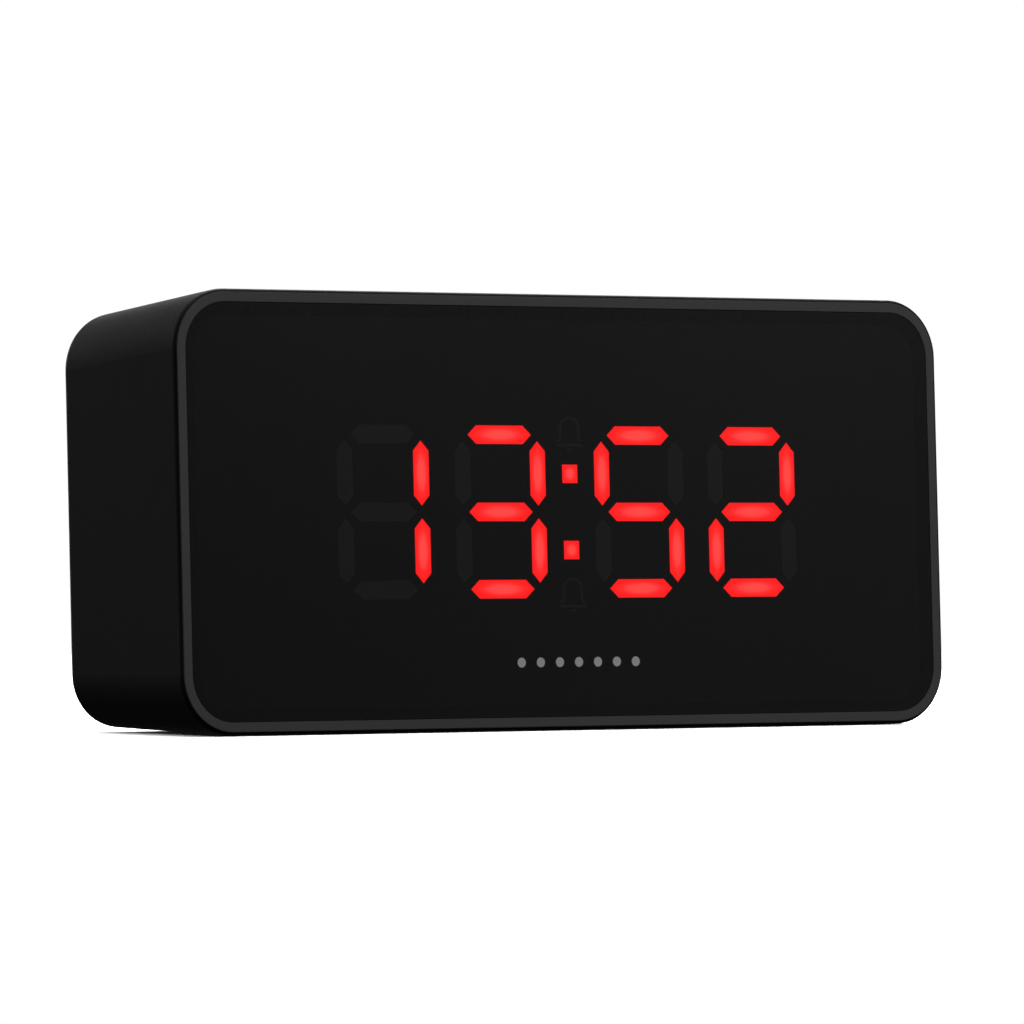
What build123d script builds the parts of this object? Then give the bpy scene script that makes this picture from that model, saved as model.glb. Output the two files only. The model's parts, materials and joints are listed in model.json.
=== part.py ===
from build123d import *
import math
import os

# ---------------------------------------------------------------------------
# LED alarm clock: a low, wide rounded-box case with a smoked front window and
# a four-digit seven-segment display behind it.
#
# Millimetres.  In the finished part +Z is up, the display faces -Y and +X is
# to the right as the display is read.  The origin is on the table, under the
# middle of the clock.
#
# The clock is drawn upright first: X to the right, Y from the front face (0)
# to the rear edge (D), Z up from the middle of the front face.  The case has
# moulding draft on all four sides, so it narrows towards the rear, and on its
# feet it leans back by TILT.  place() turns the drawing frame into the part's.
# ---------------------------------------------------------------------------

# ---- driving dimensions ----------------------------------------------------
W = 160.1            # overall width at the front edge
H = 75.4             # case height at the front edge
D = 39.8             # case depth, front face to rear edge
TILT = 2.43          # degrees the face leans back
R_CORNER = 10.2      # outer corner radius seen from the front
TIGHT_TOP = 0.1       # the upper corners tighten this much over the depth
TIGHT_BOT = 1.2       # the lower corners tighten this much over the depth
DRAFT_SIDE = 2.0     # each side narrows this much over the depth
DRAFT_TOP = 2.0      # the top falls this much over the depth
DRAFT_BOT = 2.3      # the underside rises this much over the depth
FOOT = 0.15          # clearance under the case's front edge
WALL = 2.2           # case wall
FRONT_R = 0.75       # rounding of the case's front edge
REAR_R = 2.0         # rounding of the case's rear edge
LIP = 0.50           # thin case lip round the bezel
BEZEL_OUT = 0.55     # bezel outer edge, in from the case side
WIN_IN = 2.24        # window edge, in from the case side
WIN_T = 1.0          # window thickness
RECESS = 1.2         # rear cover set in from the rear edge
COVER_T = 2.2        # rear cover thickness

SHIFT_X = 0.78       # the display sits this far right of the middle
SEG_T = 3.20         # segment stroke
SEG_A = 7.82         # half width between the upright segments
SEG_B = 6.66         # height of the upright segments' centres from the middle
SEG_C = 13.30        # height of the top and bottom segments from the middle
SEG_LH = 13.2        # length of a horizontal segment, tip to tip
SEG_LV = 11.15       # length of an upright segment, tip to tip
SEG_TIP = 1.75       # length of a segment's pointed end
DIGIT_X = (-38.72, -14.56, 14.56, 38.72)
COLON_Z = 6.60
COLON_S = 3.20
ICON_Z = (13.7, -14.2)
ICON_T = 0.50         # stroke of the bell outline
FACE_Y = 1.10        # depth of the lit faces behind the front plane
SHOWN = ("bc", "abcdg", "acdfg", "abdeg")       # one, three, five, two

BTN_X = (52.0, 40.5, 29.0, 17.5)   # rear buttons: time, alarm, hour, minute
BTN_NAME = ("time", "alarm", "hour", "minute")
BTN_Z = 19.0
BTN_R = 3.6
BTN_PROUD = 0.9
BTN_TRAVEL = 0.5
KNOB_X = (24.0, 46.0)              # slide switches: alarm on/off, brightness
KNOB_NAME = ("alarm", "dimmer")
KNOB_Z = -2.0
KNOB_TRAVEL = 4.0
SNOOZE_L, SNOOZE_W = 46.0, 12.0
SNOOZE_Y = 18.6                    # depth of the snooze bar's middle
SNOOZE_PROUD = 0.8
SNOOZE_TRAVEL = 0.6

JACK_X, JACK_Z = 46.0, -20.0
BUZ_X, BUZ_Z = -44.0, 17.0
BAT_X0, BAT_X1 = -62.0, -9.5       # battery bay
BAT_Z0, BAT_Z1 = -29.0, -4.6
HINGE_Y, HINGE_Z = 37.7, BAT_Z0    # battery door hinge
CELL_R, CELL_L = 5.2, 44.0

COVER_Y1 = D - RECESS              # outer face of the rear cover
COVER_Y0 = COVER_Y1 - COVER_T      # inner face
PCB2_Y0, PCB2_Y1 = 26.8, 28.4      # main board

os.makedirs("parts", exist_ok=True)
shapes = {}


# ---- helpers ---------------------------------------------------------------
def rr(w, h, r, y, x=0.0, z=0.0):
    """rounded rectangle in the XZ plane at depth y, facing -Y"""
    pl = Plane(origin=(x, y, z), x_dir=(1, 0, 0), z_dir=(0, -1, 0))
    return pl * RectangleRounded(w, h, r)


def slab(w, h, r, y0, y1, x=0.0, z=0.0):
    """rounded plate between depths y0 < y1"""
    return extrude(rr(w, h, r, y1, x, z), amount=y1 - y0)


def bx(x0, x1, y0, y1, z0, z1):
    return Pos((x0 + x1) / 2, (y0 + y1) / 2, (z0 + z1) / 2) * Box(abs(x1 - x0), abs(y1 - y0), abs(z1 - z0))


def cy(x, z, r, y0, y1):
    return Pos(x, (y0 + y1) / 2, z) * Rot(90, 0, 0) * Cylinder(r, abs(y1 - y0))


def cx(y, z, r, x0, x1):
    return Pos((x0 + x1) / 2, y, z) * Rot(0, 90, 0) * Cylinder(r, abs(x1 - x0))


def prism(pts, y0, y1):
    """prism of an XZ outline between depths y0 < y1"""
    pl = Plane(origin=(0, y1, 0), x_dir=(1, 0, 0), z_dir=(0, -1, 0))
    face = pl * make_face(Polyline(*[(p[0], p[1]) for p in pts], close=True))
    return extrude(face, amount=y1 - y0)


def section(d, y):
    """the drafted sleeve's outline at depth y, offset inwards by d"""
    u = y / D
    w = W - 2 * DRAFT_SIDE * u - 2 * d
    h = H - (DRAFT_TOP + DRAFT_BOT) * u - 2 * d
    return rr(w, h, max(R_CORNER - d, 1.0), y, 0.0, (DRAFT_BOT - DRAFT_TOP) / 2 * u)


def outer_section(y):
    """the case's outer outline at depth y; the draft tightens its corners"""
    u = y / D
    pl = Plane(origin=(0, y, (DRAFT_BOT - DRAFT_TOP) / 2 * u), x_dir=(1, 0, 0), z_dir=(0, -1, 0))
    sk = Rectangle(W - 2 * DRAFT_SIDE * u, H - (DRAFT_TOP + DRAFT_BOT) * u)
    sk = fillet(sk.vertices().group_by(Axis.Y)[-1], R_CORNER - TIGHT_TOP * u)
    sk = fillet(sk.vertices().group_by(Axis.Y)[0], R_CORNER - TIGHT_BOT * u)
    return pl * sk


def sleeve(d, y0, y1):
    return loft([section(d, y0), section(d, y1)])


def top_z(y):
    return H / 2 - DRAFT_TOP * y / D


def bottom_z(y):
    return -H / 2 + DRAFT_BOT * y / D


TOP_ANGLE = math.degrees(math.atan(DRAFT_TOP / D))


def on_top(shape):
    """local frame: z out of the drafted top, y to the rear, origin mid bar"""
    return Pos(0, SNOOZE_Y, top_z(SNOOZE_Y)) * Rot(-TOP_ANGLE, 0, 0) * shape


TURN = Rot(-TILT, 0, 0)
RISE = FOOT + (H / 2) * math.cos(math.radians(TILT))


def put(name, *items):
    """keep one node; several items are separate solids of that node"""
    out = []
    for it in items:
        out.extend(it.solids() if hasattr(it, "solids") else [it])
    shapes[name] = out


# ---- case: a drafted sleeve, open front and rear ---------------------------
case = loft([outer_section(0), outer_section(D)])
front_edges = case.faces().sort_by(Axis.Y)[0].edges()
case = fillet(front_edges, FRONT_R)
rear_edges = case.faces().sort_by(Axis.Y)[-1].edges()
case = fillet(rear_edges, REAR_R)
cavity = sleeve(WALL, 1.6, D + 1.0)
case = case - cavity
case = case - slab(W - 2 * LIP, H - 2 * LIP, R_CORNER - LIP, -1.0, 1.6)
# corner blocks that take the rear cover's screws
for sx in (-1, 1):
    for sz in (-1, 1):
        blk = bx(sx * 66.3, sx * 79.0, 24.0, COVER_Y0, sz * 23.5, sz * 38.0)
        blk = blk & sleeve(WALL - 0.6, 23.0, COVER_Y0 + 0.5)
        case = case + blk
SCREW_X, SCREW_Z = 70.0, 27.0
for sx in (-1, 1):
    for sz in (-1, 1):
        case = case - cy(sx * SCREW_X, sz * SCREW_Z, 1.15, 27.0, COVER_Y0 + 1)
# window for the snooze bar in the top, normal to the drafted top
snooze_hole = on_top(extrude(SlotOverall(SNOOZE_L, SNOOZE_W), amount=20, both=True))
case = case - (snooze_hole & bx(-40, 40, 0, D, 20, 60))
# two ribs under the top that carry the snooze board
for sx in (-1, 1):
    rib = on_top(Pos(sx * 29.0, 0, -5.6) * Box(3.0, 12.0, 8.4))
    case = case + rib
    case = case - on_top(Pos(sx * 29.0, 0, -8.5) * Cylinder(0.75, 6.0))

# ---- feet: short rubber discs, the rear pair taller ------------------------
FEET = [(sx * 56.0, y) for sx in (-1, 1) for y in (8.5, 32.0)]
untilt = Rot(TILT, 0, 0)
feet = []
for fx, fy in FEET:
    # world height of the underside over the foot
    t = math.radians(TILT)
    zu = -fy * math.sin(t) + bottom_z(fy) * math.cos(t) + RISE
    yw = fy * math.cos(t) + bottom_z(fy) * math.sin(t)
    top = zu + 0.8
    foot = Pos(fx, yw, top / 2 - RISE) * Cylinder(4.6, top)
    pocket = Pos(fx, yw, (top - 3) / 2 - RISE + 0.0) * Cylinder(4.75, top + 3)
    foot = fillet(foot.edges().sort_by(Axis.Z)[0], 0.2)
    feet.append(untilt * foot)
    case = case - untilt * pocket
put("rubber_feet", *feet)
put("case_shell", case)

# ---- bezel: flat ring with a skirt that plugs into the case ----------------
IN4 = 4.6
ring = slab(W - 2 * BEZEL_OUT, H - 2 * BEZEL_OUT, R_CORNER - BEZEL_OUT, 0.0, 1.6)
ring = chamfer(ring.faces().sort_by(Axis.Y)[0].edges(), 0.12)
skirt = slab(W - 6.2, H - 6.2, R_CORNER - 3.1, 1.2, 10.0)
bezel = ring + skirt
bezel = bezel - slab(W - 2 * WIN_IN, H - 2 * WIN_IN, R_CORNER - WIN_IN, -1.0, 1.2)
bezel = bezel - slab(W - 2 * IN4, H - 2 * IN4, R_CORNER - IN4, -1.0, 11.0)
BRD_X, BRD_Z = 66.0, 26.5
for sx in (-1, 1):
    for sz in (-1, 1):
        blk = bx(sx * 62.4, sx * 76.2, 3.0, 8.0, sz * 23.0, sz * 34.0)
        blk = blk & slab(W - 2 * IN4 + 1.2, H - 2 * IN4 + 1.2, R_CORNER - IN4 + 0.6, 2.0, 9.0)
        bezel = bezel + blk
        bezel = bezel - cy(sx * BRD_X, sz * BRD_Z, 1.1, 4.0, 9.0)
put("front_bezel", bezel)

g = 0.03
win = slab(W - 2 * WIN_IN - 2 * g, H - 2 * WIN_IN - 2 * g, R_CORNER - WIN_IN - g, 0.05, 0.05 + WIN_T)
win = chamfer(win.faces().sort_by(Axis.Y)[0].edges(), 0.10)
put("display_window", win)
tape = slab(W - 5.2, H - 5.2, R_CORNER - 2.6, 0.05 + WIN_T, 1.2)
tape = tape - slab(W - 9.0, H - 9.0, R_CORNER - 4.5, 0.0, 2.0)
put("window_adhesive", tape)


# ---- display ---------------------------------------------------------------
def seg_outline(x, z, letter, grow=0.0):
    t = SEG_T / 2 + grow
    if letter in "adg":
        zc = z + {"a": SEG_C, "g": 0.0, "d": -SEG_C}[letter]
        l = SEG_LH / 2 + grow * 1.2
        return [(x - l, zc), (x - l + SEG_TIP, zc + t), (x + l - SEG_TIP, zc + t),
                (x + l, zc), (x + l - SEG_TIP, zc - t), (x - l + SEG_TIP, zc - t)]
    xc = x + (SEG_A if letter in "bc" else -SEG_A)
    zc = z + (SEG_B if letter in "bf" else -SEG_B)
    l = SEG_LV / 2 + grow * 1.2
    return [(xc, zc - l), (xc + t, zc - l + SEG_TIP), (xc + t, zc + l - SEG_TIP),
            (xc, zc + l), (xc - t, zc + l - SEG_TIP), (xc - t, zc - l + SEG_TIP)]


def bell_parts(x, z):
    """plain bell in outline: an open arch with flared ends, a foot bar and a clapper"""
    ro, ri = 2.15, 2.15 - ICON_T
    top = z + 0.75
    arc = [(math.cos(math.radians(a)), math.sin(math.radians(a))) for a in range(0, 181, 15)]
    outer = [(x + 2.75, z - 1.55), (x + ro, z - 0.85)] + [(x + ro * c, top + ro * s) for c, s in arc] \
        + [(x - ro, z - 0.85), (x - 2.75, z - 1.55)]
    inner = [(x - 2.75 + ICON_T * 1.35, z - 1.55), (x - ri, z - 0.95)] \
        + [(x + ri * c, top + ri * s) for c, s in reversed(arc)] + [(x + ri, z - 0.95), (x + 2.75 - ICON_T * 1.35, z - 1.55)]
    arch = outer + inner
    bar = [(x - 2.75, z - 2.35), (x + 2.75, z - 2.35), (x + 2.75, z - 1.90), (x - 2.75, z - 1.90)]
    clap = [(x - 0.7, z - 2.70), (x + 0.7, z - 2.70), (x + 0.45, z - 3.10), (x - 0.45, z - 3.10)]
    return [arch, bar, clap]


SEG_Y1 = 4.6
lit, unlit, holes, chips = [], [], [], []
for i, dx in enumerate(DIGIT_X):
    for s in "abcdefg":
        o = seg_outline(dx + SHIFT_X, 0.0, s)
        p = prism(o, FACE_Y, SEG_Y1)
        holes.append(prism(o, 0.0, 9.0))
        (lit if s in SHOWN[i] else unlit).append(p)
        mx = sum(q[0] for q in o) / 6
        mz = sum(q[1] for q in o) / 6
        chips.append(bx(mx - 0.8, mx + 0.8, 7.2, 8.0, mz - 0.5, mz + 0.5))
dots, icons = [], []
for sz in (-1, 1):
    z = sz * COLON_Z
    h2 = COLON_S / 2
    dots.append(bx(SHIFT_X - h2, SHIFT_X + h2, FACE_Y, SEG_Y1, z - h2, z + h2))
    holes.append(bx(SHIFT_X - h2, SHIFT_X + h2, 0, 9, z - h2, z + h2))
    chips.append(bx(SHIFT_X - 0.8, SHIFT_X + 0.8, 7.2, 8.0, z - 0.5, z + 0.5))
for z in ICON_Z:
    for o in bell_parts(SHIFT_X, z):
        icons.append(prism(o, FACE_Y, SEG_Y1))
        holes.append(prism(o, 0.0, SEG_Y1))
    holes.append(cy(SHIFT_X, z, 1.5, SEG_Y1, 9.0))
    chips.append(bx(SHIFT_X - 0.8, SHIFT_X + 0.8, 7.2, 8.0, z - 0.3, z + 0.7))
refl = slab(106.0, 39.0, 1.5, FACE_Y + 0.05, 8.0, SHIFT_X, 0.0)
for hcut in holes:
    refl = refl - hcut
put("display_reflector", refl)
shroud = slab(W - 2 * IN4 - 0.4, H - 2 * IN4 - 0.4, R_CORNER - IN4 - 0.2, FACE_Y + 0.05, FACE_Y + 1.25)
shroud = shroud - slab(106.2, 39.2, 1.6, 0.0, 4.0, SHIFT_X, 0.0)
put("display_shroud", shroud)
put("segments_lit", *lit)
put("segments_unlit", *unlit)
put("colon_dots", *dots)
put("alarm_icon_windows", *icons)
put("led_chips", *chips)

pcb1 = slab(140.0, 61.0, 5.0, 8.0, 9.6)
for sx in (-1, 1):
    for sz in (-1, 1):
        pcb1 = pcb1 - cy(sx * BRD_X, sz * BRD_Z, 1.3, 7, 11)
put("display_board", pcb1)


def screw(x, z, y_head, head_h, head_r, shank_r, length, out=1):
    """pan-head screw along Y; out=+1 has its head towards the rear"""
    head = cy(x, z, head_r, y_head, y_head + out * head_h) if out > 0 else cy(x, z, head_r, y_head - head_h, y_head)
    edge = head.edges().sort_by(Axis.Y)[-1 if out > 0 else 0]
    head = fillet(edge, head_h * 0.45)
    shank = cy(x, z, shank_r, y_head - length, y_head) if out > 0 else cy(x, z, shank_r, y_head, y_head + length)
    yt = y_head + out * head_h
    w, l, dp = head_r * 0.22, head_r * 1.15, head_h * 0.5
    y0, y1 = (yt - dp, yt + 1) if out > 0 else (yt - 1, yt + dp)
    s = head + shank
    s = s - bx(x - l / 2, x + l / 2, y0, y1, z - w / 2, z + w / 2)
    s = s - bx(x - w / 2, x + w / 2, y0, y1, z - l / 2, z + l / 2)
    return s


put("display_board_screws", *[screw(sx * BRD_X, sz * BRD_Z, 9.6, 1.4, 2.1, 1.05, 5.2)
                              for sx in (-1, 1) for sz in (-1, 1)])
put("display_driver", bx(-40, -27, 9.6, 11.2, 5, 12), bx(27, 40, 9.6, 11.2, 5, 12))
put("display_resistors", *[bx(-20 + 5 * k, -18 + 5 * k, 9.6, 10.1, -14, -12.8) for k in range(8)])

# ---- rear cover ------------------------------------------------------------
cw = W - 2 * (DRAFT_SIDE * COVER_Y1 / D + WALL) - 0.4
ch = H - (DRAFT_TOP + DRAFT_BOT) * COVER_Y1 / D - 2 * WALL - 0.4
cz0 = (DRAFT_BOT - DRAFT_TOP) / 2 * COVER_Y1 / D
cover = slab(cw, ch, R_CORNER - WALL - 0.2, COVER_Y0, COVER_Y1, 0, cz0)
cover = chamfer(cover.faces().sort_by(Axis.Y)[-1].edges(), 0.35)
for sx in (-1, 1):
    for sz in (-1, 1):
        cover = cover - cy(sx * SCREW_X, sz * SCREW_Z, 1.6, COVER_Y0 - 1, COVER_Y1 + 1)
        cover = cover - cy(sx * SCREW_X, sz * SCREW_Z, 2.9, COVER_Y1 - 0.7, COVER_Y1 + 1)
for x in BTN_X:
    cover = cover - cy(x, BTN_Z, BTN_R + 0.3, COVER_Y0 - 1, COVER_Y1 + 1)
for x in KNOB_X:
    cover = cover - slab(KNOB_TRAVEL + 5.2, 3.6, 0.6, COVER_Y0 - 1, COVER_Y1 + 1, x, KNOB_Z)
    cover = cover - slab(KNOB_TRAVEL + 9.0, 7.0, 1.2, COVER_Y1 - 0.8, COVER_Y1 + 1, x, KNOB_Z)
cover = cover - cy(JACK_X, JACK_Z, 4.2, COVER_Y0 - 1, COVER_Y1 + 1)
# sound slots
for k in range(-3, 4):
    ln = 2 * math.sqrt(max(9.5 ** 2 - (k * 2.8) ** 2, 1))
    cover = cover - slab(ln, 1.3, 0.64, COVER_Y0 - 1, COVER_Y1 + 1, BUZ_X, BUZ_Z + k * 2.8)
# battery bay: walls and floor behind an opening
bay_out = bx(BAT_X0 - 1.4, BAT_X1 + 1.4, 24.0, COVER_Y0 + 0.2, BAT_Z0 - 1.6, BAT_Z1 + 1.4)
cover = cover + bay_out
cover = cover - bx(BAT_X0, BAT_X1, 25.4, 36.8, BAT_Z0 - 0.2, BAT_Z1)
cover = cover - bx(BAT_X0 + 1.0, BAT_X1 - 1.0, 36.0, COVER_Y1 + 1, HINGE_Z - 1.35, BAT_Z1)
cover = cover - slab(14.0, 3.6, 1.7, COVER_Y1 - 0.9, COVER_Y1 + 1, (BAT_X0 + BAT_X1) / 2, BAT_Z1 + 0.4)
for xa, xb in ((BAT_X0 - 0.4, BAT_X0 + 2), (BAT_X1 - 2, BAT_X1 + 0.4)):
    cover = cover - cx(HINGE_Y, HINGE_Z, 0.70, xa, xb)
for z in (BAT_Z0 + 0.2 + CELL_R + 0.55, BAT_Z1 - 0.2 - CELL_R - 0.35):
    cover = cover - cx(PCB2_Y1 + 0.52, z, 0.62, BAT_X1 - 0.5, BAT_X1 + 3)
# two rests for the middle of the bay, between the cells
cover = cover + bx(-40.0, -38.8, 25.4, 28.0, BAT_Z0 + 0.6, BAT_Z1 - 0.8)
cover = cover + bx(-32.7, -31.5, 25.4, 28.0, BAT_Z0 + 0.6, BAT_Z1 - 0.8)
cells_z = (BAT_Z0 + 0.2 + CELL_R + 0.55, BAT_Z1 - 0.2 - CELL_R - 0.35)
cell_y = 25.4 + 0.3 + CELL_R + 0.2
for z in cells_z:
    cover = cover - cx(cell_y, z, CELL_R + 0.15, -50, -20)
# four posts for the main board
POSTS = [(-56.0, 29.5), (57.0, 29.5), (-20.0, 6.0), (57.0, -8.0)]
for px, pz in POSTS:
    cover = cover + cy(px, pz, 2.6, PCB2_Y1, COVER_Y0 + 0.2)
    cover = cover - cy(px, pz, 0.9, PCB2_Y1 - 1, COVER_Y0 - 1.0)
put("rear_cover", cover)
put("case_screws", *[screw(sx * SCREW_X, sz * SCREW_Z, COVER_Y1 - 0.7, 1.3, 2.5, 1.1, 9.5)
                     for sx in (-1, 1) for sz in (-1, 1)])

# ---- main board ------------------------------------------------------------
pcb2 = prism([(-60, 3.0), (4.0, 3.0), (4.0, -31.0), (61, -31.0), (61, 32.5), (-60, 32.5)], PCB2_Y0, PCB2_Y1)
pcb2 = pcb2 - bx(60.9, 70, 20, 35, -40, -23) 
for px, pz in POSTS:
    pcb2 = pcb2 - cy(px, pz, 1.2, 20, 30)
put("main_board", pcb2)
put("main_board_screws", *[screw(px, pz, PCB2_Y0, 1.3, 2.0, 0.85, 6.0, out=-1) for px, pz in POSTS])
put("clock_chip", bx(-14, -2, PCB2_Y1, PCB2_Y1 + 1.8, 14, 22))
put("quartz_crystal", Pos(-8, PCB2_Y1 + 1.5, 9.0) * Rot(0, 90, 0) * Cylinder(1.5, 8.0))
put("capacitors", cy(12.5, -14.0, 3.1, PCB2_Y1, PCB2_Y1 + 7.0), cy(12.5, -23.0, 3.1, PCB2_Y1, PCB2_Y1 + 7.0),
    cy(22.0, -24.0, 2.5, PCB2_Y1, PCB2_Y1 + 6.0))
put("regulator", bx(24, 30, PCB2_Y1, PCB2_Y1 + 2.4, -18, -12))
put("board_resistors", *[bx(-20, -18.4, PCB2_Y1, PCB2_Y1 + 0.6, 13 + 2.2 * k, 14 + 2.2 * k) for k in range(5)])
buz = cy(BUZ_X, BUZ_Z, 10.5, PCB2_Y1, PCB2_Y1 + 6.6)
buz = fillet(buz.edges().sort_by(Axis.Y)[-1], 0.6)
buz = buz - cy(BUZ_X, BUZ_Z, 1.6, PCB2_Y1 + 3.5, PCB2_Y1 + 8)
put("buzzer", buz)

# ---- boards' ribbon and its two sockets ------------------------------------
put("ribbon_sockets", bx(-12, 12, 9.6, 13.0, 16.0, 21.0), bx(-12, 12, PCB2_Y0 - 3.4, PCB2_Y0, 16.0, 21.0))
ribbon = bx(-10.5, 10.5, 13.0, 18.0, 18.1, 18.9) + bx(-10.5, 10.5, 17.2, 18.0, 12.0, 18.9) \
    + bx(-10.5, 10.5, 17.2, PCB2_Y0 - 4.2, 12.0, 12.8) + bx(-10.5, 10.5, PCB2_Y0 - 5.0, PCB2_Y0 - 4.2, 12.0, 18.9) \
    + bx(-10.5, 10.5, PCB2_Y0 - 5.0, PCB2_Y0 - 3.4, 18.1, 18.9)
put("board_ribbon", ribbon)

# ---- rear buttons: cap, stem, and the plunger of the switch under it -------
for x, nm in zip(BTN_X, BTN_NAME):
    cap = cy(x, BTN_Z, BTN_R, COVER_Y0 - 1.6, COVER_Y1 + BTN_PROUD)
    cap = fillet(cap.edges().sort_by(Axis.Y)[-1], 0.45)
    cap = cap + cy(x, BTN_Z, BTN_R + 0.9, COVER_Y0 - 1.6, COVER_Y0 - 0.15)
    cap = cap + cy(x, BTN_Z, 1.4, 33.5, COVER_Y0 - 1.5)
    put(nm + "_button", cap)
    put(nm + "_switch_plunger", cy(x, BTN_Z, 1.6, 31.0, 33.5))
bodies = []
for x in BTN_X:
    b = bx(x - 3, x + 3, PCB2_Y1, 32.2, BTN_Z - 3, BTN_Z + 3)
    bodies.append(b - cy(x, BTN_Z, 1.72, 30.2, 40))
put("button_switches", *bodies)

# ---- slide switches --------------------------------------------------------
slide_bodies = []
for x, nm in zip(KNOB_X, KNOB_NAME):
    b = bx(x - 6.0, x + 6.0, PCB2_Y1, 33.6, KNOB_Z - 3.2, KNOB_Z + 3.2)
    b = b - bx(x - KNOB_TRAVEL / 2 - 1.9, x + KNOB_TRAVEL / 2 + 1.9, 31.0, 35, KNOB_Z - 1.3, KNOB_Z + 1.3)
    slide_bodies.append(b)
    x0 = x - KNOB_TRAVEL / 2
    knob = bx(x0 - 1.6, x0 + 1.6, 31.3, COVER_Y0 - 0.3, KNOB_Z - 1.1, KNOB_Z + 1.1)
    grip = bx(x0 - 2.2, x0 + 2.2, COVER_Y0 - 1.0, COVER_Y1 + 0.35, KNOB_Z - 1.4, KNOB_Z + 1.4)
    for k in (-1.3, 0.0, 1.3):
        grip = grip - bx(x0 + k - 0.3, x0 + k + 0.3, COVER_Y1 - 0.05, COVER_Y1 + 1, KNOB_Z - 2, KNOB_Z + 2)
    put(nm + "_switch_knob", knob + grip)
put("slide_switches", *slide_bodies)

# ---- power inlet -----------------------------------------------------------
jack = bx(JACK_X - 4.6, JACK_X + 4.6, PCB2_Y1, COVER_Y0 - 0.2, JACK_Z - 5.2, JACK_Z + 5.2)
jack = jack + cy(JACK_X, JACK_Z, 4.0, COVER_Y0 - 0.3, COVER_Y1 - 0.2)
jack = jack - cy(JACK_X, JACK_Z, 2.75, 29.4, COVER_Y1 + 1)
put("power_jack", jack)
pin = cy(JACK_X, JACK_Z, 1.0, 29.4, COVER_Y1 - 1.2)
pin = fillet(pin.edges().sort_by(Axis.Y)[-1], 0.5)
put("power_jack_pin", pin)

# ---- backup cells and their contacts ---------------------------------------
cells = []
for k, z in enumerate(cells_z):
    s = 1 if k == 0 else -1
    mid = (BAT_X0 + BAT_X1) / 2 + s * 1.4
    c = cx(cell_y, z, CELL_R, mid - CELL_L / 2, mid + CELL_L / 2)
    c = fillet(c.edges().filter_by(GeomType.CIRCLE), 0.5)
    nib = cx(cell_y, z, 1.9, mid + s * CELL_L / 2, mid + s * (CELL_L / 2 + 1.0))
    cells.append(c + nib)
put("backup_cells", *cells)
plates, springs = [], []
for k, z in enumerate(cells_z):
    s = 1 if k == 0 else -1
    xp = BAT_X1 if s > 0 else BAT_X0            # plus end wall
    xm = BAT_X0 if s > 0 else BAT_X1            # spring end wall
    plates.append(bx(xp, xp - s * 0.5, 27.0, 35.0, z - 4.2, z + 4.2))
    plates.append(bx(xm, xm + s * 0.4, 27.0, 35.0, z - 4.2, z + 4.2))
    mid = (BAT_X0 + BAT_X1) / 2 + s * 1.4
    gap = abs((mid - s * CELL_L / 2) - (xm + s * 0.4))
    turns = 3
    wire_r = 0.32
    hx = Helix(pitch=(gap - 2 * wire_r - 0.1) / turns, height=gap - 2 * wire_r - 0.1, radius=2.9)
    prof = Plane(origin=hx @ 0, z_dir=hx % 0) * Circle(wire_r)
    sp = sweep(prof, path=hx, is_frenet=True)
    x_start = min(xm + s * 0.4, mid - s * CELL_L / 2) + wire_r + 0.05
    springs.append(Pos(x_start, cell_y, z) * Rot(0, 90, 0) * sp)
put("battery_plates", *plates)
put("battery_springs", *springs)

LEAD_Y = PCB2_Y1 + 0.52
put("battery_leads", *[cx(LEAD_Y, z, 0.5, BAT_X1 + 0.02, 8.2) for z in cells_z])

# ---- battery door: turns down on two short pins ----------------------------
dx0, dx1 = BAT_X0 + 1.3, BAT_X1 - 1.3
door = bx(dx0, dx1, 36.9, COVER_Y1, HINGE_Z, BAT_Z1 - 0.3)
door = door + cx(HINGE_Y, HINGE_Z, 0.8, dx0, dx1)
door = chamfer(door.faces().sort_by(Axis.Z)[-1].edges().sort_by(Axis.Y)[-1], 0.3)
door = door + cx(HINGE_Y, HINGE_Z, 0.62, BAT_X0 + 0.1, BAT_X1 - 0.1)
for k in range(4):
    door = door - bx(-41.75 + k, -41.35 + k, COVER_Y1 - 0.3, COVER_Y1 + 1, BAT_Z1 - 7.0, BAT_Z1 - 3.0)
    door = door - bx(-33.15 + k, -32.75 + k, COVER_Y1 - 0.3, COVER_Y1 + 1, BAT_Z1 - 7.0, BAT_Z1 - 3.0)
put("battery_door", door)

# ---- snooze bar on the top, its board and switch ---------------------------
bar = extrude(SlotOverall(SNOOZE_L - 0.6, SNOOZE_W - 0.6), amount=SNOOZE_PROUD + 3.0)
bar = Pos(0, 0, -3.0) * bar
bar = fillet(bar.edges().group_by(Axis.Z)[-1], 0.6)
flange = Pos(0, 0, -3.4) * extrude(SlotOverall(SNOOZE_L + 2.0, SNOOZE_W + 2.0), amount=1.0)
stem = Pos(0, 0, -4.9) * Cylinder(1.6, 3.0)
bar = bar + flange + stem
put("snooze_bar", on_top(bar))
put("snooze_switch_plunger", on_top(Pos(0, 0, -7.4) * Cylinder(1.6, 2.0)))
sw = Pos(0, 0, -8.4) * Box(6, 6, 3.2)
sw = sw - Pos(0, 0, -6.4) * Cylinder(1.72, 5.4)
put("snooze_switch", on_top(sw))
sb = Pos(0, 0, -10.8) * Box(66.0, 12.0, 1.6)
for sx in (-1, 1):
    sb = sb - Pos(sx * 29.0, 0, -10.8) * Cylinder(1.1, 4)
put("snooze_board", on_top(sb))
ssc = []
for sx in (-1, 1):
    hd = Pos(sx * 29.0, 0, -12.2) * Cylinder(1.8, 1.2)
    ssc.append(on_top(hd + Pos(sx * 29.0, 0, -9.4) * Cylinder(0.7, 4.6)))
put("snooze_board_screws", *ssc)
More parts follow.
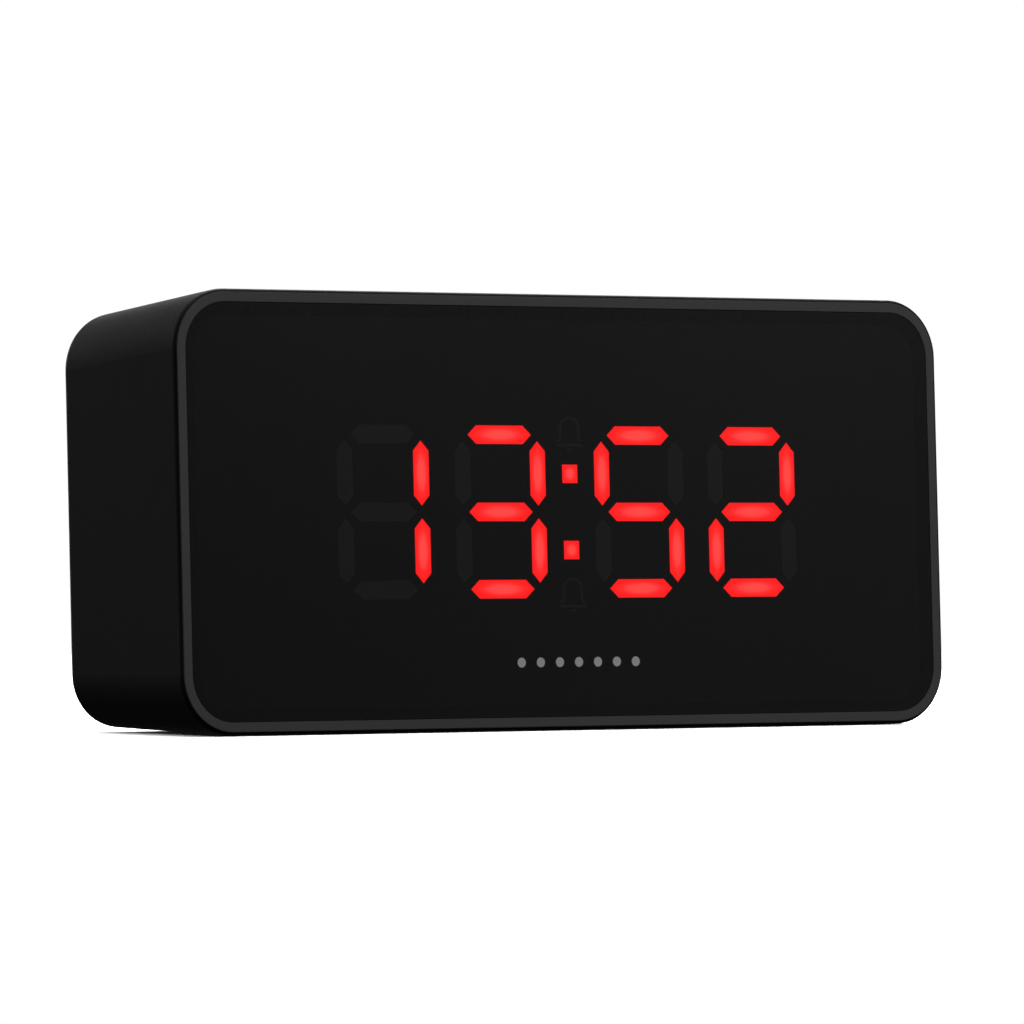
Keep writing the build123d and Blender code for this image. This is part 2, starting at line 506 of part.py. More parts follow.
put("snooze_leads", *[on_top(Pos(x, 5.2, -12.1) * Rot(90, 0, 0) * Cylinder(0.45, 5.6)) for x in (-3.0, 3.0)])

# ---- into the part's frame: lean back, stand on the table, centre ----------
placed = {}
lo = [1e9] * 3
hi = [-1e9] * 3
for name, items in shapes.items():
    placed[name] = [Pos(0, 0, RISE) * TURN * s for s in items]
    for s in placed[name]:
        b = s.bounding_box()
        lo = [min(lo[0], b.min.X), min(lo[1], b.min.Y), min(lo[2], b.min.Z)]
        hi = [max(hi[0], b.max.X), max(hi[1], b.max.Y), max(hi[2], b.max.Z)]
SHIFT_Y = -(lo[1] + hi[1]) / 2
for name, items in placed.items():
    moved = [Pos(0, SHIFT_Y, 0) * s for s in items]
    export_step(moved[0] if len(moved) == 1 else Compound(children=moved), "parts/" + name + ".step")
print("rise", RISE, "shift_y", SHIFT_Y, "low", lo, "high", hi, "nodes", len(placed))
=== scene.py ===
import bpy, bmesh, json, math
from mathutils import Matrix, Vector


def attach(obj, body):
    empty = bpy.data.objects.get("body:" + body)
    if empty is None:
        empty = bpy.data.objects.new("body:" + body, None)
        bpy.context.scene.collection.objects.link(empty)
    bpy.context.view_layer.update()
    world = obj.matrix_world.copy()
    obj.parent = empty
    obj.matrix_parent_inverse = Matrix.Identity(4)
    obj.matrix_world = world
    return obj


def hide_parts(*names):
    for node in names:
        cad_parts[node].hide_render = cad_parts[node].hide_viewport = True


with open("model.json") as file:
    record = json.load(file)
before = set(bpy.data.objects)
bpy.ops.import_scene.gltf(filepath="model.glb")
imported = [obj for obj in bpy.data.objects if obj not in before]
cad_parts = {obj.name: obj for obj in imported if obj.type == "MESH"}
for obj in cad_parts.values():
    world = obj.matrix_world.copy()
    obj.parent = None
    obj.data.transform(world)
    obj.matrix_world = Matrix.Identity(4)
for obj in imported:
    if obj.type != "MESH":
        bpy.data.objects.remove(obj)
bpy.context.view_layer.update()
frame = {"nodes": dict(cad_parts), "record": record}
nodes = frame["nodes"]
scene = bpy.context.scene
scene.view_settings.view_transform = "Standard"
scene.view_settings.look = "None"
scene.view_settings.exposure = 0.0
scene.view_settings.gamma = 1.0

# ---------------------------------------------------------------------------
# drawing frame of the clock: X right, Y back from the face, Z up from its
# middle, in millimetres.  DRAW turns it into the part's frame in metres.
# ---------------------------------------------------------------------------
TILT = math.radians(2.43)
W, H, D = 160.1, 75.4, 39.8
FOOT = 0.15
RISE = FOOT + H / 2 * math.cos(TILT)
SHIFT_Y = -19.814907563802386
DRAW = Matrix.Translation((0, SHIFT_Y / 1000, RISE / 1000)) @ Matrix.Rotation(-TILT, 4, "X") @ Matrix.Scale(0.001, 4)


# ---- node-material helpers --------------------------------------------------
class Mat:
    """one principled material with small helpers for its texture nodes"""

    def __init__(self, name):
        self.m = bpy.data.materials.new(name)
        self.m.use_nodes = True
        self.nt = self.m.node_tree
        self.nt.nodes.clear()
        self.out = self.nt.nodes.new("ShaderNodeOutputMaterial")
        self.b = self.nt.nodes.new("ShaderNodeBsdfPrincipled")
        self.nt.links.new(self.b.outputs[0], self.out.inputs[0])
        self.tc = self.nt.nodes.new("ShaderNodeTexCoord")
        self.height = None

    def n(self, kind, **kw):
        nd = self.nt.nodes.new(kind)
        for k, v in kw.items():
            setattr(nd, k, v)
        return nd

    def link(self, a, b):
        self.nt.links.new(a, b)
        return a

    def set(self, **kw):
        for k, v in kw.items():
            self.b.inputs[k.replace("_", " ")].default_value = v
        return self

    def noise(self, scale, detail=3.0, rough=0.55, distort=0.0, stretch=None):
        nd = self.n("ShaderNodeTexNoise")
        nd.inputs["Scale"].default_value = scale
        nd.inputs["Detail"].default_value = detail
        nd.inputs["Roughness"].default_value = rough
        nd.inputs["Distortion"].default_value = distort
        src = self.tc.outputs["Object"]
        if stretch:
            mp = self.n("ShaderNodeMapping")
            mp.inputs["Scale"].default_value = stretch
            self.link(src, mp.inputs["Vector"])
            src = mp.outputs["Vector"]
        self.link(src, nd.inputs["Vector"])
        return nd.outputs["Fac"]

    def voronoi(self, scale, feature="F1"):
        nd = self.n("ShaderNodeTexVoronoi", feature=feature)
        nd.inputs["Scale"].default_value = scale
        self.link(self.tc.outputs["Object"], nd.inputs["Vector"])
        return nd.outputs["Distance"]

    def math(self, op, a, b=None, clamp=False):
        nd = self.n("ShaderNodeMath", operation=op, use_clamp=clamp)
        for i, v in enumerate((a, b)):
            if v is None:
                continue
            if isinstance(v, (int, float)):
                nd.inputs[i].default_value = v
            else:
                self.link(v, nd.inputs[i])
        return nd.outputs[0]

    def ramp(self, fac, stops):
        nd = self.n("ShaderNodeValToRGB")
        el = nd.color_ramp.elements
        el[0].position, el[1].position = stops[0][0], stops[-1][0]
        el[0].color, el[1].color = stops[0][1], stops[-1][1]
        for p, c in stops[1:-1]:
            e = el.new(p)
            e.color = c
        self.link(fac, nd.inputs[0])
        return nd.outputs[0]

    def range(self, fac, a, b, c, d):
        nd = self.n("ShaderNodeMapRange")
        nd.inputs["From Min"].default_value = a
        nd.inputs["From Max"].default_value = b
        nd.inputs["To Min"].default_value = c
        nd.inputs["To Max"].default_value = d
        self.link(fac, nd.inputs["Value"])
        return nd.outputs["Result"]

    def bump(self, fac, strength, dist):
        nd = self.n("ShaderNodeBump")
        nd.inputs["Strength"].default_value = strength
        nd.inputs["Distance"].default_value = dist
        self.link(fac, nd.inputs["Height"])
        if self.height is not None:
            self.link(self.height, nd.inputs["Normal"])
        self.height = nd.outputs["Normal"]
        self.link(self.height, self.b.inputs["Normal"])
        return nd

    def edge(self, dist=0.0006):
        """soft mask of convex edges, from the bevelled normal"""
        bv = self.n("ShaderNodeBevel", samples=4)
        bv.inputs["Radius"].default_value = dist
        geo = self.n("ShaderNodeNewGeometry")
        dot = self.n("ShaderNodeVectorMath", operation="DOT_PRODUCT")
        self.link(bv.outputs["Normal"], dot.inputs[0])
        self.link(geo.outputs["Normal"], dot.inputs[1])
        return self.range(dot.outputs["Value"], 0.995, 0.90, 0.0, 1.0)


def grey(v, a=1.0):
    return (v, v, v * 1.01, a)


def plastic(name, lo, hi, rough, grain=2600.0, bump=0.06, depth=0.00004, spec=0.35, smudge=0.05, tint=None):
    """moulded plastic: fine spark-eroded grain, faint cloudiness, roughness that wanders"""
    m = Mat(name)
    m.set(Specular_IOR_Level=spec)
    big = m.noise(38.0, 4.0, 0.6)
    fine = m.noise(grain, 2.0, 0.5)
    mix = m.math("ADD", m.math("MULTIPLY", big, 0.7), m.math("MULTIPLY", fine, 0.3))
    t = tint or (1, 1, 1.01)
    m.link(m.ramp(mix, [(0.3, (lo * t[0], lo * t[1], lo * t[2], 1)), (0.7, (hi * t[0], hi * t[1], hi * t[2], 1))]), m.b.inputs["Base Color"])
    r = m.math("ADD", m.range(big, 0.3, 0.7, rough - smudge, rough + smudge), m.range(fine, 0.3, 0.7, -0.04, 0.04))
    m.link(r, m.b.inputs["Roughness"])
    m.bump(fine, bump, depth)
    return m


mats = {}

# case sleeve: matt black, spark-eroded grain
m = plastic("case_black", 0.0024, 0.0040, 0.50, 2400.0, 0.10, 0.00003, spec=0.15)
mats["case_black"] = m
# rear cover, a touch coarser
m = plastic("cover_black", 0.0095, 0.0145, 0.55, 1700.0, 0.24, 0.00005, spec=0.35)
mats["cover_black"] = m
m = plastic("key_black", 0.016, 0.024, 0.42, 3000.0, 0.07, 0.00003, spec=0.45)
mats["key_black"] = m
m = plastic("bezel_grey", 0.069, 0.078, 0.45, 3200.0, 0.05, 0.00002, spec=0.25)
mats["bezel_grey"] = m
m = plastic("reflector_black", 0.0022, 0.0032, 0.75, 1500.0, 0.1, 0.00003, spec=0.1)
mats["reflector_black"] = m
m = plastic("adhesive", 0.003, 0.005, 0.9, 900.0, 0.3, 0.00005, spec=0.1)
mats["adhesive"] = m
m = plastic("chip_black", 0.012, 0.02, 0.5, 1200.0, 0.3, 0.00003)
mats["chip_black"] = m
m = plastic("switch_body", 0.02, 0.03, 0.45, 1500.0, 0.15, 0.00003)
mats["switch_body"] = m
m = plastic("switch_stem", 0.30, 0.36, 0.4, 1500.0, 0.1, 0.00002, tint=(1.0, .72, .45))
mats["switch_stem"] = m
m = plastic("jack_black", 0.010, 0.016, 0.35, 1800.0, 0.1, 0.00002, spec=0.5)
mats["jack_black"] = m
m = plastic("socket_white", 0.62, 0.7, 0.4, 900.0, 0.1, 0.00002, tint=(1, .97, .88))
mats["socket_white"] = m
m = plastic("foot_rubber", 0.030, 0.045, 0.82, 900.0, 0.5, 0.00006, spec=0.2)
mats["foot_rubber"] = m

# smoked window: dark, see-through, polished; its base colour carries a painted reflection, lighter towards the upper
# right and darker towards the lower left
m = Mat("window_smoke")
m.set(Specular_IOR_Level=0.30, IOR=1.49, Alpha=0.62)
sp = m.n("ShaderNodeSeparateXYZ")
m.link(m.tc.outputs["Object"], sp.inputs[0])
# painted reflection gradient: the base colour is lighter towards the upper right of the window; the noise added after
# it is the window's own faint cloudiness
painted_reflection_ramp = m.math("ADD", m.math("MULTIPLY", sp.outputs["X"], 3.6), m.math("MULTIPLY", m.math("ADD", sp.outputs["Z"], -0.0378), 5.6))
cl = m.noise(9.0, 3.0, 0.5)
painted_reflection_and_cloud = m.math("ADD", m.range(painted_reflection_ramp, -0.5, 0.5, 0.0, 1.0), m.range(cl, 0.3, 0.7, -0.05, 0.05), True)
m.link(m.ramp(painted_reflection_and_cloud, [(0.0, (0.0160, 0.0160, 0.0162, 1)), (1.0, (0.0238, 0.0238, 0.0240, 1))]), m.b.inputs["Base Color"])
mic = m.noise(900.0, 3.0, 0.6)
m.link(m.math("ADD", m.range(mic, 0.3, 0.7, 0.20, 0.24), m.range(cl, 0.3, 0.7, -0.02, 0.02)), m.b.inputs["Roughness"])
m.bump(m.noise(60.0, 2.0, 0.5), 0.02, 0.00002)
mats["window_smoke"] = m

# lit diffusers: paler in the middle of each stroke where the chip sits, pure red
# towards the rims and tips, with the faint grain of the diffusing filler
m = Mat("led_red")
au = m.n("ShaderNodeAttribute", attribute_name="along")
av = m.n("ShaderNodeAttribute", attribute_name="across")
gr = m.noise(2600.0, 2.0, 0.5)
e2 = m.math("ADD", m.math("MULTIPLY", m.math("MULTIPLY", au.outputs["Fac"], au.outputs["Fac"]), 1.15),
            m.math("MULTIPLY", m.math("MULTIPLY", av.outputs["Fac"], av.outputs["Fac"]), 1.05))
nd = m.n("ShaderNodeMapRange", interpolation_type="SMOOTHSTEP")
nd.inputs["From Min"].default_value = 1.0
nd.inputs["From Max"].default_value = 0.0
m.link(e2, nd.inputs["Value"])
g = m.math("ADD", nd.outputs["Result"], m.range(gr, 0.3, 0.7, -0.03, 0.03), True)
m.link(m.ramp(g, [(0.0, (1.0, 0.008, 0.008, 1)), (0.6, (1.0, 0.021, 0.021, 1)), (1.0, (1.0, 0.060, 0.056, 1))]), m.b.inputs["Emission Color"])
m.set(Emission_Strength=6.9, Specular_IOR_Level=0.2)
m.b.inputs["Base Color"].default_value = (0.25, 0.01, 0.01, 1)
m.link(m.range(gr, 0.3, 0.7, 0.45, 0.6), m.b.inputs["Roughness"])
mats["led_red"] = m

# unlit diffusers: milky, a ghost behind the smoked window
m = Mat("led_off")
gr = m.noise(1800.0, 2.0, 0.5)
m.link(m.ramp(gr, [(0.3, (0.43, 0.415, 0.41, 1)), (0.7, (0.52, 0.505, 0.50, 1))]), m.b.inputs["Base Color"])
m.link(m.range(gr, 0.3, 0.7, 0.5, 0.65), m.b.inputs["Roughness"])
m.set(Specular_IOR_Level=0.2)
mats["led_off"] = m
m = plastic("lead_red", 0.30, 0.42, 0.42, 1500.0, 0.1, 0.00003, tint=(1.0, .06, .05))
mats["lead_red"] = m

# printed grey on the window
m = plastic("print_grey", 0.54, 0.62, 0.5, 2600.0, 0.05, 0.00001)
mats["print_grey"] = m
m = plastic("print_pale", 0.30, 0.38, 0.6, 2600.0, 0.05, 0.00001)
mats["print_pale"] = m


def metal(name, col, rough, scale=(1, 1, 1), aniso=0.0):
    m = Mat(name)
    m.set(Metallic=1.0)
    n1 = m.noise(700.0, 3.0, 0.6, stretch=scale)
    m.link(m.ramp(n1, [(0.25, tuple(c * 0.82 for c in col) + (1,)), (0.75, tuple(min(c * 1.08, 1) for c in col) + (1,))]), m.b.inputs["Base Color"])
    m.link(m.range(n1, 0.3, 0.7, rough - 0.07, rough + 0.07), m.b.inputs["Roughness"])
    m.bump(n1, 0.08, 0.00002)
    return m


mats["screw_steel"] = metal("screw_steel", (0.60, 0.60, 0.58), 0.32)
mats["screw_black"] = metal("screw_black", (0.10, 0.10, 0.105), 0.38)
mats["can_steel"] = metal("can_steel", (0.66, 0.66, 0.66), 0.25, (1, 6, 6))
mats["contact_plate"] = metal("contact_plate", (0.72, 0.70, 0.66), 0.28, (1, 4, 1))
mats["cap_sleeve"] = metal("cap_sleeve", (0.34, 0.36, 0.40), 0.35)
mats["led_chip"] = plastic("led_chip", 0.55, 0.65, 0.3, 900.0, 0.05, 0.00001, tint=(1, .93, .7))

# boards: solder mask with woven glass showing faintly
m = Mat("board_green")
wv = m.n("ShaderNodeTexWave", wave_type="BANDS", bands_direction="X")
wv.inputs["Scale"].default_value = 900.0
m.link(m.tc.outputs["Object"], wv.inputs["Vector"])
wz = m.n("ShaderNodeTexWave", wave_type="BANDS", bands_direction="Z")
wz.inputs["Scale"].default_value = 900.0
m.link(m.tc.outputs["Object"], wz.inputs["Vector"])
weave = m.math("MULTIPLY", wv.outputs["Fac"], wz.outputs["Fac"])
bl = m.noise(60.0, 3.0)
m.link(m.ramp(m.math("ADD", m.math("MULTIPLY", weave, 0.4), m.math("MULTIPLY", bl, 0.6)), [(0.2, (0.006, 0.05, 0.02, 1)), (0.8, (0.012, 0.10, 0.04, 1))]), m.b.inputs["Base Color"])
m.link(m.range(bl, 0.3, 0.7, 0.25, 0.4), m.b.inputs["Roughness"])
m.bump(weave, 0.1, 0.00002)
mats["board_green"] = m

# ribbon: fine conductors side by side
m = Mat("ribbon_grey")
wv = m.n("ShaderNodeTexWave", wave_type="BANDS", bands_direction="X")
wv.inputs["Scale"].default_value = 250.0
m.link(m.tc.outputs["Object"], wv.inputs["Vector"])
m.link(m.ramp(wv.outputs["Fac"], [(0.1, (0.16, 0.16, 0.17, 1)), (0.6, (0.42, 0.42, 0.43, 1))]), m.b.inputs["Base Color"])
m.link(m.range(m.noise(400.0), 0.3, 0.7, 0.35, 0.5), m.b.inputs["Roughness"])
m.bump(wv.outputs["Fac"], 0.5, 0.0002)
mats["ribbon_grey"] = m

# cell sleeve: plain two-tone wrap, no lettering
m = Mat("cell_wrap")
sx = m.n("ShaderNodeSeparateXYZ")
m.link(m.tc.outputs["Object"], sx.inputs[0])
band = m.range(m.math("ABSOLUTE", m.math("ADD", sx.outputs["X"], 0.0357)), 0.0139, 0.0141, 0.0, 1.0)
wear = m.noise(500.0, 4.0)
mx = m.n("ShaderNodeMix", data_type="RGBA")
m.link(band, mx.inputs[0])
mx.inputs[6].default_value = (0.030, 0.034, 0.040, 1)
mx.inputs[7].default_value = (0.42, 0.43, 0.44, 1)
m.link(mx.outputs[2], m.b.inputs["Base Color"])
m.set(Metallic=0.35)
m.link(m.range(wear, 0.3, 0.7, 0.22, 0.36), m.b.inputs["Roughness"])
mats["cell_wrap"] = m

slot_of = {s["node"]: s["material_slot"] for s in frame["record"]["subparts"]}
for name, ob in nodes.items():
    mt = mats[slot_of[name]].m
    if not ob.material_slots:
        ob.data.materials.append(mt)
    for s in ob.material_slots:
        s.material = mt


# ---- mesh helpers -----------------------------------------------------------
def new_object(name, bm, mat, body="clock", smooth=False):
    me = bpy.data.meshes.new(name)
    bm.normal_update()
    bm.to_mesh(me)
    bm.free()
    me.transform(DRAW)
    if smooth:
        for p in me.polygons:
            p.use_smooth = True
    ob = bpy.data.objects.new(name, me)
    scene.collection.objects.link(ob)
    me.materials.append(mat.m)
    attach(ob, body)
    return ob


def offset_poly(pts, d):
    """convex outline moved inwards by d (points run anticlockwise in XZ)"""
    n = len(pts)
    cxm = sum(p[0] for p in pts) / n
    czm = sum(p[1] for p in pts) / n
    area = sum(pts[i][0] * pts[(i + 1) % n][1] - pts[(i + 1) % n][0] * pts[i][1] for i in range(n))
    if area < 0:
        pts = pts[::-1]
    out = []
    for i in range(n):
        p0, p1, p2 = pts[i - 1], pts[i], pts[(i + 1) % n]
        a = Vector((p1[0] - p0[0], p1[1] - p0[1])).normalized()
        b = Vector((p2[0] - p1[0], p2[1] - p1[1])).normalized()
        na, nb = Vector((-a.y, a.x)), Vector((-b.y, b.x))
        k = (na + nb)
        k = k / max(k.dot(na), 0.2)
        out.append((p1[0] + k.x * d, p1[1] + k.y * d))
    return out


# ---- lit segments: same outlines and depth as the CAD solids, with soft rims ----
SHIFT_X = 0.78
SEG_T, SEG_A, SEG_B, SEG_C, SEG_LH, SEG_LV, SEG_TIP = 3.20, 7.82, 6.66, 13.30, 13.2, 11.15, 1.75
DIGIT_X = (-38.72, -14.56, 14.56, 38.72)
COLON_Z, COLON_S, FACE_Y, SEG_Y1 = 6.60, 3.20, 1.10, 4.6
SHOWN = ("bc", "abcdg", "acdfg", "abdeg")


def seg_outline(x, z, letter):
    """outline, centre, direction and half length of one stroke"""
    t = SEG_T / 2
    if letter in "adg":
        zc = z + {"a": SEG_C, "g": 0.0, "d": -SEG_C}[letter]
        l = SEG_LH / 2
        return ([(x - l, zc), (x - l + SEG_TIP, zc - t), (x + l - SEG_TIP, zc - t),
                 (x + l, zc), (x + l - SEG_TIP, zc + t), (x - l + SEG_TIP, zc + t)], (x, zc), True, l)
    xc = x + (SEG_A if letter in "bc" else -SEG_A)
    zc = z + (SEG_B if letter in "bf" else -SEG_B)
    l = SEG_LV / 2
    return ([(xc, zc - l), (xc + t, zc - l + SEG_TIP), (xc + t, zc + l - SEG_TIP),
             (xc, zc + l), (xc - t, zc + l - SEG_TIP), (xc - t, zc - l + SEG_TIP)], (xc, zc), False, l)


def lens_piece(bm, pts, mid, flat, length, half, y0, y1):
    """a diffuser with a narrow rounded rim; along/across give each point's place on the stroke"""
    au, av = bm.verts.layers.float["along"], bm.verts.layers.float["across"]
    rings = []
    for d, y in ((0.0, y1), (0.0, y0 + 0.09), (0.03, y0 + 0.02), (0.09, y0)):
        ring = []
        for q in offset_poly(pts, d):
            v = bm.verts.new((q[0], y, q[1]))
            du, dv = (q[0] - mid[0], q[1] - mid[1]) if flat else (q[1] - mid[1], q[0] - mid[0])
            v[au], v[av] = du / length, dv / half
            ring.append(v)
        rings.append(ring)
    n = len(pts)
    for a, b in zip(rings, rings[1:]):
        for i in range(n):
            j = (i + 1) % n
            bm.faces.new((a[i], a[j], b[j], b[i]))
    hub = bm.verts.new((mid[0], y0, mid[1]))
    hub[au] = hub[av] = 0.0
    for i in range(n):
        bm.faces.new((rings[-1][i], rings[-1][(i + 1) % n], hub))
    bm.faces.new(list(reversed(rings[0])))


def glow_mesh():
    b = bmesh.new()
    b.verts.layers.float.new("along")
    b.verts.layers.float.new("across")
    return b


bm = glow_mesh()
for i, dx in enumerate(DIGIT_X):
    for s in SHOWN[i]:
        pts, mid, flat, length = seg_outline(dx + SHIFT_X, 0.0, s)
        lens_piece(bm, pts, mid, flat, length, SEG_T / 2, FACE_Y, SEG_Y1)
seg = new_object("lit_segment_diffusers", bm, mats["led_red"])
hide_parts("segments_lit")
bm = glow_mesh()
for sz in (-1, 1):
    h2 = COLON_S / 2
    z = sz * COLON_Z
    sq = [(SHIFT_X - h2, z - h2), (SHIFT_X + h2, z - h2), (SHIFT_X + h2, z + h2), (SHIFT_X - h2, z + h2)]
    lens_piece(bm, sq, (SHIFT_X, z), True, h2, h2, FACE_Y, SEG_Y1)
dots = new_object("lit_colon_diffusers", bm, mats["led_red"])
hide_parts("colon_dots")


# ---- pad printing: thin ink shapes, flat on the surface they mark ------------
def ink(bm, pts, y0, y1):
    """a plate of ink with the outline pts between depths y0 < y1"""
    area = sum(pts[i][0] * pts[(i + 1) % len(pts)][1] - pts[(i + 1) % len(pts)][0] * pts[i][1] for i in range(len(pts)))
    if area < 0:
        pts = pts[::-1]
    f = [bm.verts.new((p[0], y0, p[1])) for p in pts]
    k = [bm.verts.new((p[0], y1, p[1])) for p in pts]
    n = len(pts)
    bm.faces.new(f)
    bm.faces.new(list(reversed(k)))
    for i in range(n):
        j = (i + 1) % n
        bm.faces.new((f[j], f[i], k[i], k[j]))


def ring_parts(x, z, ro, ri, a0=0.0, a1=360.0, n=32):
    """an annulus as short plates"""
    out = []
    for i in range(n):
        t0, t1 = (math.radians(a0 + (a1 - a0) * (i + q) / n) for q in (0, 1))
        out.append([(x + ri * math.cos(t0), z + ri * math.sin(t0)), (x + ro * math.cos(t0), z + ro * math.sin(t0)),
                    (x + ro * math.cos(t1), z + ro * math.sin(t1)), (x + ri * math.cos(t1), z + ri * math.sin(t1))])
    return out


def disc(x, z, r, n=24):
    return [(x + r * math.cos(2 * math.pi * i / n), z + r * math.sin(2 * math.pi * i / n)) for i in range(n)]


def bar(x0, z0, x1, z1, w):
    d = Vector((x1 - x0, z1 - z0)).normalized()
    q = Vector((-d.y, d.x)) * (w / 2)
    return [(x0 - q.x, z0 - q.y), (x1 - q.x, z1 - q.y), (x1 + q.x, z1 + q.y), (x0 + q.x, z0 + q.y)]


# seven day dots low on the window
bm = bmesh.new()
for i in range(7):
    ink(bm, disc(SHIFT_X + 0.2 + (i - 3) * 4.0, -26.0, 0.85), 0.020, 0.049)
new_object("window_day_dots", bm, mats["print_grey"])

# symbols beside the rear controls: bell, dial, up arrows, brightness, plug polarity
BACK = D - 1.2
INK0, INK1 = BACK + 0.002, BACK + 0.03
bm = bmesh.new()
rear = []


def bell(x, z, k):
    o = [(x + 2.4 * k, z - 1.6 * k), (x + 1.7 * k, z - 0.8 * k), (x + 1.6 * k, z + 0.6 * k)]
    o += [(x + 1.6 * k * math.cos(math.radians(a)), z + (0.6 + 1.6 * math.sin(math.radians(a))) * k) for a in range(15, 180, 15)]
    o += [(x - 1.6 * k, z + 0.6 * k), (x - 1.7 * k, z - 0.8 * k), (x - 2.4 * k, z - 1.6 * k)]
    return [o, disc(x, z - 2.2 * k, 0.45 * k, 14)]


def dial(x, z, r):
    return ring_parts(x, z, r, r - 0.32) + [bar(x, z - 0.15, x, z + r * 0.62, 0.30), bar(x + 0.1, z, x - r * 0.5, z, 0.30)]


def chevron(x, z, k):
    return [[(x - 1.3 * k, z - 0.7 * k), (x - 1.3 * k, z - 0.2 * k), (x, z + 0.8 * k), (x, z + 0.25 * k)],
            [(x + 1.3 * k, z - 0.2 * k), (x + 1.3 * k, z - 0.7 * k), (x, z + 0.25 * k), (x, z + 0.8 * k)]]


ROW = 25.6
rear += dial(52.0, ROW, 1.7)
rear += bell(40.5, ROW + 0.2, 0.72)
rear += chevron(29.0, ROW, 1.0)
rear += chevron(17.5, ROW + 0.75, 1.0) + chevron(17.5, ROW - 0.75, 1.0)
rear += bell(24.0, 4.6, 0.72)
rear += [disc(46.0, 4.6, 0.75)] + [bar(46.0 + 1.15 * math.cos(t), 4.6 + 1.15 * math.sin(t), 46.0 + 1.75 * math.cos(t), 4.6 + 1.75 * math.sin(t), 0.28)
                                   for t in [math.radians(45 * i) for i in range(8)]]
for kx in (24.0, 46.0):
    rear += [bar(kx + 5.2, -2.9, kx + 5.2, -1.1, 0.3)]
    rear += ring_parts(kx - 5.2, -2.0, 0.95, 0.65, n=20)
# polarity: minus, ring, dot, ring, plus
rear += [disc(46.0, -28.2, 0.45, 16)] + ring_parts(46.0, -28.2, 1.25, 0.98, 30, 330, 20)
rear += [bar(42.0, -28.2, 44.75, -28.2, 0.26), bar(46.3, -28.2, 50.0, -28.2, 0.26)]
rear += ring_parts(41.0, -28.2, 1.05, 0.80, n=20) + [bar(40.45, -28.2, 41.55, -28.2, 0.26)]
rear += ring_parts(51.0, -28.2, 1.05, 0.80, n=20) + [bar(50.45, -28.2, 51.55, -28.2, 0.26), bar(51.0, -28.75, 51.0, -27.65, 0.26)]
for o in rear:
    ink(bm, o, INK0, INK1)
new_object("rear_symbols", bm, mats["print_pale"])

# ---- floor, backdrop light --------------------------------------------------
FLOOR_R = 1.30
bm = bmesh.new()
rings = [0.0, 0.15, 0.3, 0.5, 0.7, 0.9, 1.1, FLOOR_R]
hub = bm.verts.new((0, 0, 0))
last = None
for r in rings[1:]:
    cur = [bm.verts.new((r * math.cos(2 * math.pi * i / 96), r * math.sin(2 * math.pi * i / 96), 0)) for i in range(96)]
    for i in range(96):
        j = (i + 1) % 96
        bm.faces.new((hub, cur[i], cur[j]) if last is None else (last[i], cur[i], cur[j], last[j]))
    last = cur
me = bpy.data.meshes.new("floor")
bm.to_mesh(me)
bm.free()
floor = bpy.data.objects.new("floor", me)
scene.collection.objects.link(floor)
fm = Mat("floor_white")
fm.nt.nodes.remove(fm.b)
dif = fm.n("ShaderNodeBsdfDiffuse")
emi = fm.n("ShaderNodeEmission")
add = fm.n("ShaderNodeAddShader")
fn = fm.noise(3.0, 3.0)
ln = fm.n("ShaderNodeVectorMath", operation="LENGTH")
fm.link(fm.tc.outputs["Object"], ln.inputs[0])
far = fm.range(ln.outputs["Value"], 0.20, 0.80, 0.0, 1.0)
near = fm.math("MULTIPLY", fm.math("SUBTRACT", 1.0, far, True), fm.range(fn, 0.3, 0.7, 4.00, 4.10))
cc = fm.n("ShaderNodeCombineColor")
for k in range(3):
    fm.link(near, cc.inputs[k])
fm.link(cc.outputs[0], dif.inputs["Color"])
fm.link(far, emi.inputs["Strength"])
fm.link(dif.outputs[0], add.inputs[0])
fm.link(emi.outputs[0], add.inputs[1])
# seen from underneath the floor is clear, so the clock's underside can be looked at
under = fm.n("ShaderNodeNewGeometry")
one_side = fm.n("ShaderNodeMixShader")
fm.link(under.outputs["Backfacing"], one_side.inputs[0])
fm.link(add.outputs[0], one_side.inputs[1])
fm.link(fm.n("ShaderNodeBsdfTransparent").outputs[0], one_side.inputs[2])
fm.link(one_side.outputs[0], fm.out.inputs[0])
me.materials.append(fm.m)
floor.visible_glossy = False
floor.visible_diffuse = False

world = bpy.data.worlds.new("studio")
scene.world = world
world.use_nodes = True
nt = world.node_tree
nt.nodes.clear()
out = nt.nodes.new("ShaderNodeOutputWorld")
lp = nt.nodes.new("ShaderNodeLightPath")
mix = nt.nodes.new("ShaderNodeMixShader")
seen = nt.nodes.new("ShaderNodeBackground")
seen.inputs[0].default_value = (1, 1, 1, 1)
seen.inputs[1].default_value = 1.02
amb = nt.nodes.new("ShaderNodeBackground")
amb.inputs[1].default_value = 1.0
tc = nt.nodes.new("ShaderNodeTexCoord")
sep = nt.nodes.new("ShaderNodeSeparateXYZ")
rp = nt.nodes.new("ShaderNodeValToRGB")
mr = nt.nodes.new("ShaderNodeMapRange")
mr.inputs["From Min"].default_value = -1.0
mr.inputs["From Max"].default_value = 1.0
el = rp.color_ramp.elements
el[0].position, el[0].color = 0.30, (0.018, 0.018, 0.018, 1)
e = rp.color_ramp.elements.new(0.44)
e.color = (0.06, 0.06, 0.06, 1)
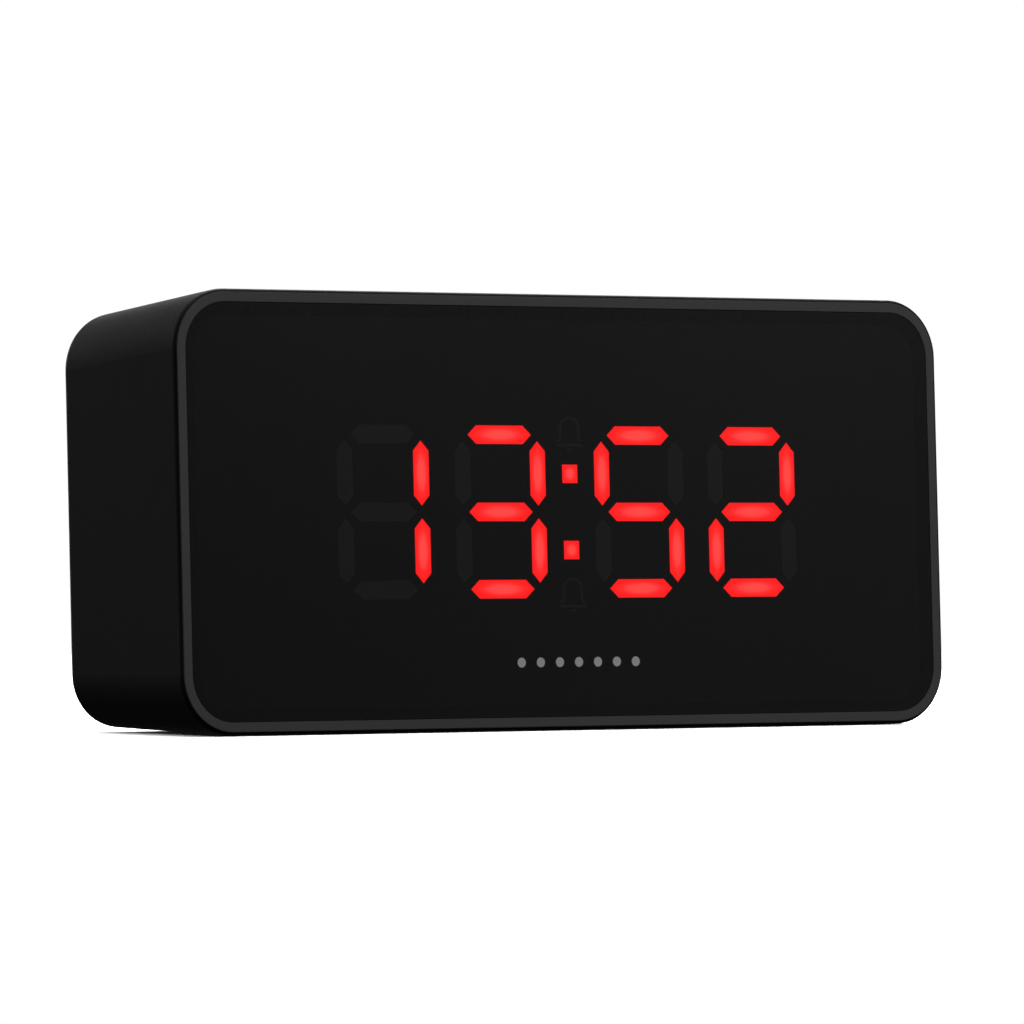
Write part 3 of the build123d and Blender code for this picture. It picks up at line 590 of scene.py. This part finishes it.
el[1].position, el[1].color = 1.0, (0.36, 0.36, 0.36, 1)
e = el.new(0.5)
e.color = (0.115, 0.115, 0.115, 1)
e = el.new(0.62)
e.color = (0.18, 0.18, 0.18, 1)
nt.links.new(tc.outputs["Generated"], sep.inputs[0])
nt.links.new(sep.outputs["Z"], mr.inputs["Value"])
nt.links.new(mr.outputs["Result"], rp.inputs[0])
nt.links.new(rp.outputs[0], amb.inputs[0])
nt.links.new(lp.outputs["Is Camera Ray"], mix.inputs[0])
nt.links.new(amb.outputs[0], mix.inputs[1])
nt.links.new(seen.outputs[0], mix.inputs[2])
nt.links.new(mix.outputs[0], out.inputs[0])


def area(name, loc, target, size, power, col=(1, 1, 1), size_y=None):
    li = bpy.data.lights.new(name, "AREA")
    li.energy = power
    li.color = col
    li.shape = "RECTANGLE"
    li.size = size
    li.size_y = size_y or size
    ob = bpy.data.objects.new(name, li)
    scene.collection.objects.link(ob)
    ob.location = loc
    d = Vector(target) - Vector(loc)
    ob.rotation_euler = d.to_track_quat("-Z", "Y").to_euler()
    return ob


area("key_top", (0.1, -0.1, 1.6), (0, 0, 0.03), 1.8, 8.0)
area("key_back", (0.7, 1.0, 1.3), (0, 0, 0.02), 0.8, 16.5)
area("left_rear", (-1.1, 0.9, 0.55), (0, 0, 0.04), 0.7, 2.4)
area("rear_rim", (0.15, 1.5, 0.25), (0, 0, 0.04), 0.4, 1.2)
area("right_front", (1.3, -1.3, 0.9), (0, 0, 0.04), 0.9, 8.0)

# ---- camera -----------------------------------------------------------------
CAM_UNITS = Vector((-5.06, -7.2983, -0.3101)) * 160.0
cam_data = bpy.data.cameras.new("camera")
cam = bpy.data.objects.new("camera", cam_data)
scene.collection.objects.link(cam)
cam.location = DRAW @ CAM_UNITS
cam.rotation_euler = (math.radians(90.0), 0.0, math.radians(-34.30))
cam_data.sensor_width = 36.0
cam_data.lens = 8223.0 / 1024.0 * 36.0
cam_data.clip_start = 0.05
cam_data.clip_end = 200.0
scene.camera = cam
